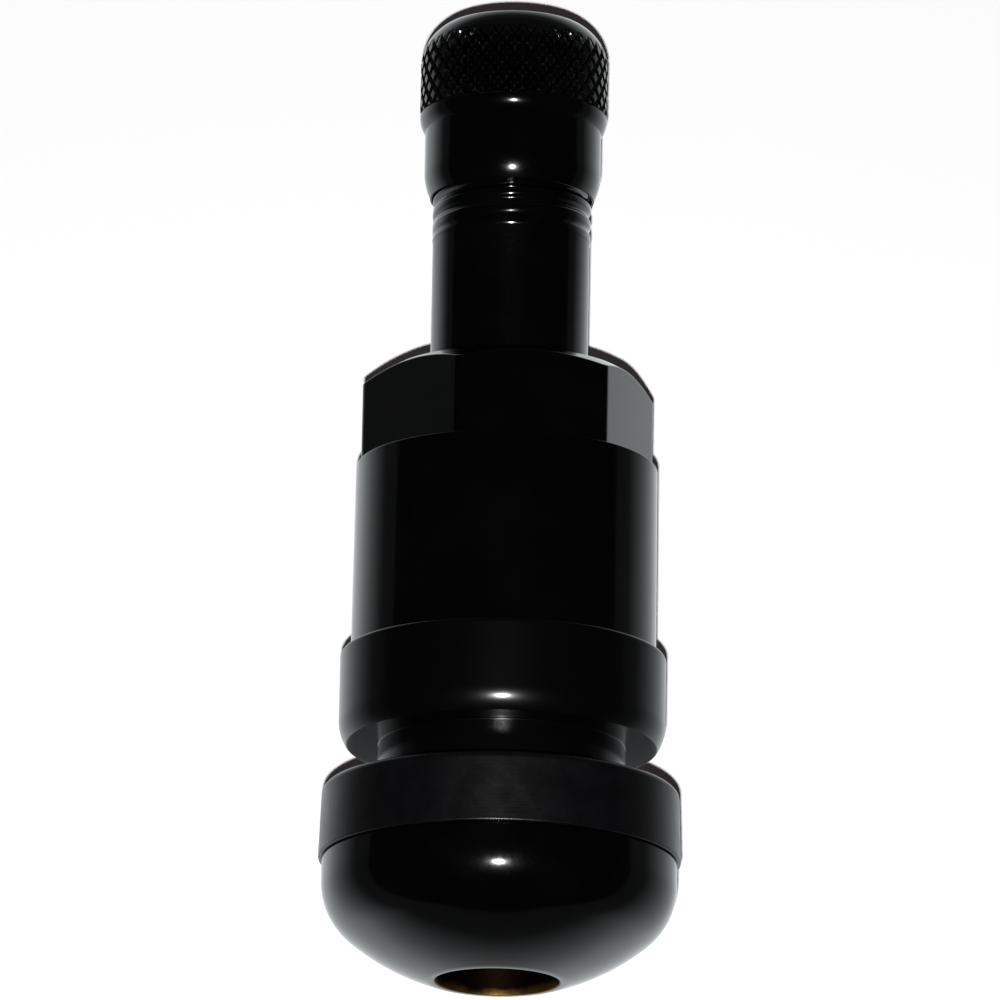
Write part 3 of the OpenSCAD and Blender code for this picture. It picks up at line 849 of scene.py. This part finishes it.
# %% Set the sizes of the cap
DIAMONDS, HALF_ROWS, KNURL_STEPS = 36, 7, 4
CAP_COLUMNS = 2 * DIAMONDS * KNURL_STEPS
KNURL_R, KNURL_DEPTH, KNURL_FLAT = 4.6, 0.2, 0.5
CAP_SKIRT_R, CAP_SKIRT_H = 4.325, 3.6
CAP_BORE_R, CAP_LIP, CAP_EDGE_H = 3.925, 0.05, 1.35
CAP_THREAD_DEPTH, CAP_THREAD_INSET = 0.2, 0.6
LIP_EDGE, CEILING_EDGE = 0.04, 0.1
CROWN_STEPS = 14
CROWN_H, CROWN_ROUND = 1.9, 2.2
VALLEY_R = KNURL_R - KNURL_DEPTH
ROUND_Z = CAP_TOP_Z - CROWN_H
SHOULDER_DIP, SHOULDER_H = 0.2, 0.8
SHOULDER_Z = CAP_Z + CAP_SKIRT_H - SHOULDER_DIP
KNURL_LOW_Z = SHOULDER_Z + SHOULDER_H
KNURL_HIGH_Z = ROUND_Z + math.sqrt(CROWN_ROUND ** 2 - (CROWN_ROUND - KNURL_DEPTH) ** 2)
CAP_THREAD_LOW_Z, CAP_THREAD_HIGH_Z = CAP_Z + CAP_THREAD_INSET, CEILING_Z - CAP_THREAD_INSET
print("knurl in mm:", round(KNURL_LOW_Z, 2), "to", round(KNURL_HIGH_Z, 2))

# %% Make the cap
def crown_outline():
    """From the knurl's upper rim over the rounded crown to the middle of its top."""
    start, end = (math.degrees(math.asin((z - ROUND_Z) / CROWN_ROUND)) for z in (KNURL_HIGH_Z, CAP_TOP_Z))
    rounding = arc((KNURL_R - CROWN_ROUND, ROUND_Z), CROWN_ROUND, start, end, CROWN_STEPS)
    return rounding + [(rounding[-1][0] - GUARD, CAP_TOP_Z, 0), (0, CAP_TOP_Z, 0)]


def skirt_outline():
    """From the thread's lower rim, round the lower edge, up the skirt and over the shoulder to the knurl."""
    return (
        [(CAP_BORE_R, CAP_THREAD_LOW_Z, 0), (CAP_BORE_R, CAP_Z, LIP_EDGE)]
        + swelling(CAP_SKIRT_R, CAP_Z, CAP_SKIRT_R - CAP_BORE_R - CAP_LIP, CAP_EDGE_H)
        + [(CAP_SKIRT_R, SHOULDER_Z - GUARD, 0)]
        + swelling(KNURL_R, SHOULDER_Z, KNURL_R - CAP_SKIRT_R, SHOULDER_H)
        + [(VALLEY_R, KNURL_LOW_Z, 0)]
    )


ceiling_outline = [
    (CAP_BORE_R, CAP_THREAD_HIGH_Z, 0),
    (CAP_BORE_R, CEILING_Z, CEILING_EDGE),
    (0, CEILING_Z, 0),
]
cap_knurl = grown("cap_knurl", KNURL, {
    "Valley_radius": VALLEY_R * MM, "Depth": KNURL_DEPTH * MM,
    "Low": KNURL_LOW_Z * MM, "High": KNURL_HIGH_Z * MM,
    "Diamonds": DIAMONDS, "Half_rows": HALF_ROWS, "Steps": KNURL_STEPS, "Flat_from": KNURL_FLAT,
    "Round_from": ROUND_Z * MM, "Rounding": CROWN_ROUND * MM, "Finish": COAT,
})
dust_cap = welded(
    "dust_cap_dressed",
    turned("cap_crown", crown_outline(), CAP_COLUMNS, closed=False),
    cap_knurl,
    turned("cap_skirt", skirt_outline(), CAP_COLUMNS, closed=False),
    thread_tube(
        "cap_thread", CAP_BORE_R, -CAP_THREAD_DEPTH, CAP_THREAD_LOW_Z, CAP_THREAD_HIGH_Z, PITCH,
        CAP_COLUMNS, COAT),
    turned("cap_ceiling", ceiling_outline, CAP_COLUMNS, closed=False),
)
dust_cap.data.materials.clear()
dust_cap.data.materials.append(COAT)
print("dust cap:", len(dust_cap.data.polygons), "faces")

# %% [markdown]
# ## Core spring
#
# The spring in the core is a wire wound on a helix, with its end turns lying together. Stacked rings would
# look alike from afar, but a wire has to climb. So a line of points is wound up by a rule, and a small
# circle is swept along it.

# %% Build the spring's tree and the spring
def build_spring():
    tree, given = new_rule(
        "Coil spring", Coil_radius="Float", Wire_radius="Float", Low="Float", Length="Float", Turns="Float",
        Closed_pitch="Float", Steps="Int", Sides="Int", Finish="Material",
    )
    line = tree.nodes.new("GeometryNodeMeshLine")
    wire(tree, calc(tree, "MULTIPLY_ADD", given["Turns"], given["Steps"], 1.0), line.inputs["Count"])
    index = tree.nodes.new("GeometryNodeInputIndex").outputs[0]
    turn = calc(tree, "DIVIDE", index, given["Steps"])
    room = calc(tree, "SUBTRACT", given["Length"], calc(tree, "MULTIPLY", given["Wire_radius"], 2.0))
    open_turns = calc(tree, "SUBTRACT", given["Turns"], 2.0)
    open_rise = calc(tree, "SUBTRACT", room, calc(tree, "MULTIPLY", given["Closed_pitch"], 2.0))
    open_share = calc(tree, "DIVIDE", calc(tree, "SUBTRACT", turn, 1.0), open_turns)
    open_share = calc(tree, "MINIMUM", calc(tree, "MAXIMUM", open_share, 0.0), 1.0)
    first = calc(tree, "MINIMUM", turn, 1.0)
    before_last = calc(tree, "SUBTRACT", given["Turns"], 1.0)
    last = calc(tree, "MAXIMUM", calc(tree, "SUBTRACT", turn, before_last), 0.0)
    closed_rise = calc(tree, "MULTIPLY", calc(tree, "ADD", first, last), given["Closed_pitch"])
    rise = calc(tree, "MULTIPLY_ADD", open_share, open_rise, closed_rise)
    z = calc(tree, "ADD", rise, calc(tree, "ADD", given["Low"], given["Wire_radius"]))
    wound = rolled(tree, line.outputs["Mesh"], turn, given["Coil_radius"], z)
    path = tree.nodes.new("GeometryNodeMeshToCurve")
    tree.links.new(wound, path.inputs["Mesh"])
    circle = tree.nodes.new("GeometryNodeCurvePrimitiveCircle")
    wire(tree, given["Sides"], circle.inputs["Resolution"])
    wire(tree, given["Wire_radius"], circle.inputs["Radius"])
    sweep = tree.nodes.new("GeometryNodeCurveToMesh")
    sweep.inputs["Fill Caps"].default_value = True
    tree.links.new(path.outputs["Curve"], sweep.inputs["Curve"])
    tree.links.new(circle.outputs["Curve"], sweep.inputs["Profile Curve"])
    close_rule(tree, sweep.outputs["Mesh"], given["Finish"])
    return tree


SPRING = build_spring()
SPRING_LOW_Z, SPRING_HIGH_Z = low("core_spring"), high("core_spring")
spring_l = SPRING_HIGH_Z - SPRING_LOW_Z
WIRE_R, COIL_R, SPRING_TURNS = 0.15, 1.05, 7.0
CLOSED_PITCH_WIRES = 2.3
SPRING_STEPS, WIRE_SIDES = 24, 12
core_spring = grown("core_spring_dressed", SPRING, {
    "Coil_radius": COIL_R * MM, "Wire_radius": WIRE_R * MM, "Low": SPRING_LOW_Z * MM,
    "Length": spring_l * MM, "Turns": SPRING_TURNS, "Closed_pitch": CLOSED_PITCH_WIRES * WIRE_R * MM,
    "Steps": SPRING_STEPS, "Sides": WIRE_SIDES, "Finish": STEEL,
})
core_spring.data.shade_smooth()
print("core spring:", len(core_spring.data.polygons), "faces")

# %% [markdown]
# ## Where the edges are
#
# Edge wear needs to know which points stand out. Pointiness from the Geometry node could tell it, but only
# in Cycles. Here the directions from each point to its neighbours are compared with its normal: on an outer
# edge the neighbours all lie below it. The result is kept as a point attribute.

# %% Mark the outer edges
EDGE_GAIN = 2.5


def mark_edges(piece):
    """Stores, for each point, how far it stands out from its neighbours, from 0 to 1."""
    shape = bmesh.new()
    shape.from_mesh(piece.data)
    layer = shape.verts.layers.float.new("edge")
    for point in shape.verts:
        ways = [(edge.other_vert(point).co - point.co).normalized() for edge in point.link_edges]
        below = -EDGE_GAIN * sum(way.dot(point.normal) for way in ways) / len(ways)
        point[layer] = min(1.0, max(0.0, below))
    shape.to_mesh(piece.data)
    shape.free()


for piece in (valve_body, sleeve_nut, dust_cap):
    mark_edges(piece)
    print("edges marked:", piece.name)

# %% [markdown]
# ## Bodies, slots and finishes
#
# Each dressed piece replaces its CAD node and moves with the same body. The small parts of the core keep
# their CAD shape and only get a finish. The spring is fixed at its lower end and has a mesh of its own.

# %% Tie the pieces to the frame
DRESSED = {
    "valve_body": (valve_body, "valve", "black_metal"),
    "rim_seal": (rim_seal, "valve", "black_rubber"),
    "sleeve_nut": (sleeve_nut, "nut", "black_metal"),
    "dust_cap": (dust_cap, "cap", "black_metal"),
    "core_spring": (core_spring, "valve", "bright_steel"),
}
for node, (piece, body, slot) in DRESSED.items():
    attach(piece, body)
    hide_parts(node)
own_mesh(core_spring)

KEPT = {
    "cap_gasket": RUBBER, "core_plug": BRASS, "core_barrel": BRASS, "core_gasket": RED_RUBBER,
    "core_pin": STEEL, "core_cup": BRASS, "core_cup_seal": RUBBER,
}
for node, finish in KEPT.items():
    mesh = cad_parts[node].data
    mesh.materials.clear()
    mesh.materials.append(finish)
print("dressed:", *DRESSED, "| kept:", *KEPT)

# %% [markdown]
# ## Paper
#
# The valve lies before white paper, whose sizes are given in metres. It is one-sided, so that it doesn't
# hide the valve from behind. In the black gloss it shows as a pool of light, dark where the valve's own
# shadow lies behind the seal's groove. An environment picture could give such mirror images too, but a
# rule on the paper itself shows where each of them comes from.

# %% Shape the pool of light
POOL_X, POOL_HALF_W, POOL_HALF_H = -0.002, 0.0135, 0.031
POOL_FADE, POOL_TAIL = 0.014, 0.07
SHADE_HALF_W, SHADE_Z, SHADE_HALF_H = 0.0074, -0.0004, 0.0014
SHADE_EASE, SHADE_LEFT = 0.001, 0.1


def pool_of_light(tree):
    """1 on the paper close round the valve, less with the distance from it and in the valve's shadow."""
    parts = tree.nodes.new("ShaderNodeSeparateXYZ")
    tree.links.new(object_place(tree), parts.inputs[0])
    side = calc(tree, "SUBTRACT", parts.outputs["X"], POOL_X)
    up = calc(tree, "SUBTRACT", parts.outputs["Z"], (FOOT_Z + CAP_TOP_Z) / 2 * MM)
    squares = []
    for way, half in ((side, POOL_HALF_W), (up, POOL_HALF_H)):
        past = calc(tree, "SUBTRACT", calc(tree, "ABSOLUTE", way), half)
        squares.append(calc(tree, "POWER", calc(tree, "MAXIMUM", past, 0.0), 2.0))
    away = calc(tree, "SQRT", calc(tree, "ADD", *squares))
    fading = calc(tree, "EXPONENT", calc(tree, "DIVIDE", away, -POOL_FADE))
    pool = calc(tree, "MAXIMUM", fading, POOL_TAIL)
    across = calc(tree, "ABSOLUTE", parts.outputs["X"])
    along = calc(tree, "ABSOLUTE", calc(tree, "SUBTRACT", parts.outputs["Z"], SHADE_Z))
    out_of_shade = calc(
        tree, "MAXIMUM",
        smooth_step(tree, across, SHADE_HALF_W, SHADE_HALF_W + SHADE_EASE),
        smooth_step(tree, along, SHADE_HALF_H, SHADE_HALF_H + SHADE_EASE),
    )
    return calc(tree, "MULTIPLY", pool, between(tree, out_of_shade, SHADE_LEFT, 1.0))


print("pool of light in mm:", 2 * POOL_HALF_W / MM, "by", 2 * POOL_HALF_H / MM)

# %% Lay the paper
PAPER_WHITE, POOL_COLOUR = (0.9, 0.9, 0.9, 1.0), (0.93, 0.98, 1.0, 1.0)
SHADOW_FILL, SHADOW_COLOUR = 0.014, (1.0, 0.7, 0.76, 1.0)


def paper_material():
    """White paper that keeps shadows; in mirrors only a pool of light round the valve shows."""
    material, tree, shader = new_finish("White paper")
    shader["Base Color"].default_value = PAPER_WHITE
    shader["Roughness"].default_value = 1.0
    shader["Specular IOR Level"].default_value = 0.0
    path = tree.nodes.new("ShaderNodeLightPath").outputs
    shader["Emission Color"].default_value = SHADOW_COLOUR
    wire(tree, calc(tree, "MULTIPLY", path["Is Camera Ray"], SHADOW_FILL), shader["Emission Strength"])
    mirrored = tree.nodes.new("ShaderNodeEmission")
    mirrored.inputs["Color"].default_value = POOL_COLOUR
    wire(tree, pool_of_light(tree), mirrored.inputs["Strength"])
    clear = tree.nodes.new("ShaderNodeBsdfTransparent")
    in_mirror = calc(tree, "MAXIMUM", path["Is Glossy Ray"], path["Is Transmission Ray"])
    behind = tree.nodes.new("ShaderNodeNewGeometry").outputs["Backfacing"]
    shown = tree.nodes["Principled BSDF"].outputs[0]
    for share, other in ((in_mirror, mirrored), (behind, clear)):
        mix = tree.nodes.new("ShaderNodeMixShader")
        tree.links.new(share, mix.inputs["Fac"])
        tree.links.new(shown, mix.inputs[1])
        tree.links.new(other.outputs[0], mix.inputs[2])
        shown = mix.outputs[0]
    tree.links.new(shown, tree.nodes["Material Output"].inputs["Surface"])
    return material


PAPER_HALF, PAPER_GAP = 0.3, 0.0002
PAPER_Y = FLANGE_R * MM + PAPER_GAP
paper_mesh = bpy.data.meshes.new("paper")
paper_mesh.from_pydata(
    [(-PAPER_HALF, PAPER_Y, -PAPER_HALF), (PAPER_HALF, PAPER_Y, -PAPER_HALF),
     (PAPER_HALF, PAPER_Y, PAPER_HALF), (-PAPER_HALF, PAPER_Y, PAPER_HALF)], [], [(0, 1, 2, 3)])
paper_mesh.materials.append(paper_material())
paper = bpy.data.objects.new("paper", paper_mesh)
bpy.context.collection.objects.link(paper)
print("paper at y in mm:", round(PAPER_Y / MM, 2))

# %% [markdown]
# ## Light
#
# A small flash just below the lens draws the sharp glints and the thin dark crescents of shadow on the
# paper. A ring of large lamps would light all sides, but the photo's black would turn grey, so one soft
# lamp above is enough. The room itself is nearly dark for all but the camera.

# %% Set the world and the lamps
AIM_H, ROOM_LIGHT = 24.0, 0.01
AIM = Vector((0, 0, FOOT_Z + AIM_H)) * MM


def area_lamp(name, azimuth, elevation, distance, width, height, power):
    """A lamp that looks at the valve; azimuth 0 is in front."""
    a, e = math.radians(azimuth), math.radians(elevation)
    lamp = bpy.data.lights.new(name, "AREA")
    lamp.shape = "RECTANGLE"
    lamp.size, lamp.size_y, lamp.energy = width, height, power
    holder = bpy.data.objects.new(name, lamp)
    way = Vector((math.sin(a) * math.cos(e), -math.cos(a) * math.cos(e), math.sin(e)))
    holder.location = AIM + way * distance
    holder.rotation_euler = way.to_track_quat("Z", "Y").to_euler()
    bpy.context.collection.objects.link(holder)


area_lamp("flash", azimuth=-0.4, elevation=-17.2, distance=0.48, width=0.006, height=0.004, power=2.75)
area_lamp("soft_above", azimuth=0, elevation=80, distance=0.8, width=1.2, height=0.9, power=0.12)

world = bpy.data.worlds.new("Pale room")
world.use_nodes = True
bpy.context.scene.world = world
tree = world.node_tree
path = tree.nodes.new("ShaderNodeLightPath").outputs
backdrop = tree.nodes["Background"]
backdrop.inputs["Color"].default_value = (1.0, 1.0, 1.0, 1.0)
wire(tree, calc(tree, "MAXIMUM", path["Is Camera Ray"], ROOM_LIGHT), backdrop.inputs["Strength"])
bpy.context.scene.view_settings.view_transform = "Standard"
print("lamps:", *(lamp.name for lamp in bpy.data.lights))

# %% [markdown]
# ## Camera
#
# The photo looks up at the valve from a little below, with the camera held slightly askew. Its distance,
# angle and lean were fitted to the outline. The lens follows from how many pixels one millimetre covers at
# the aim.

# %% Aim the camera
DISTANCE, BELOW, LEAN = 0.48, math.radians(15.3), math.radians(1.1)
PIXELS, PIXELS_PER_MM = 1000, 20.55
AIM_PIXEL_X = 506.3

forward = Vector((0, math.cos(BELOW), math.sin(BELOW)))
level, upright = Vector((1, 0, 0)), Vector((0, -math.sin(BELOW), math.cos(BELOW)))
right = level * math.cos(LEAN) + upright * math.sin(LEAN)
top = upright * math.cos(LEAN) - level * math.sin(LEAN)
lens = bpy.data.cameras.new("camera")
lens.sensor_width = 36.0
lens.lens = lens.sensor_width * PIXELS_PER_MM * DISTANCE / MM / PIXELS
camera = bpy.data.objects.new("camera", lens)
camera.matrix_world = Matrix.Translation(
    AIM - forward * DISTANCE - right * (AIM_PIXEL_X - PIXELS / 2) / PIXELS_PER_MM * MM
) @ Matrix((right, top, -forward)).transposed().to_4x4()
bpy.context.collection.objects.link(camera)
bpy.context.scene.camera = camera
print("lens:", round(lens.lens, 1), "mm at", DISTANCE, "m")
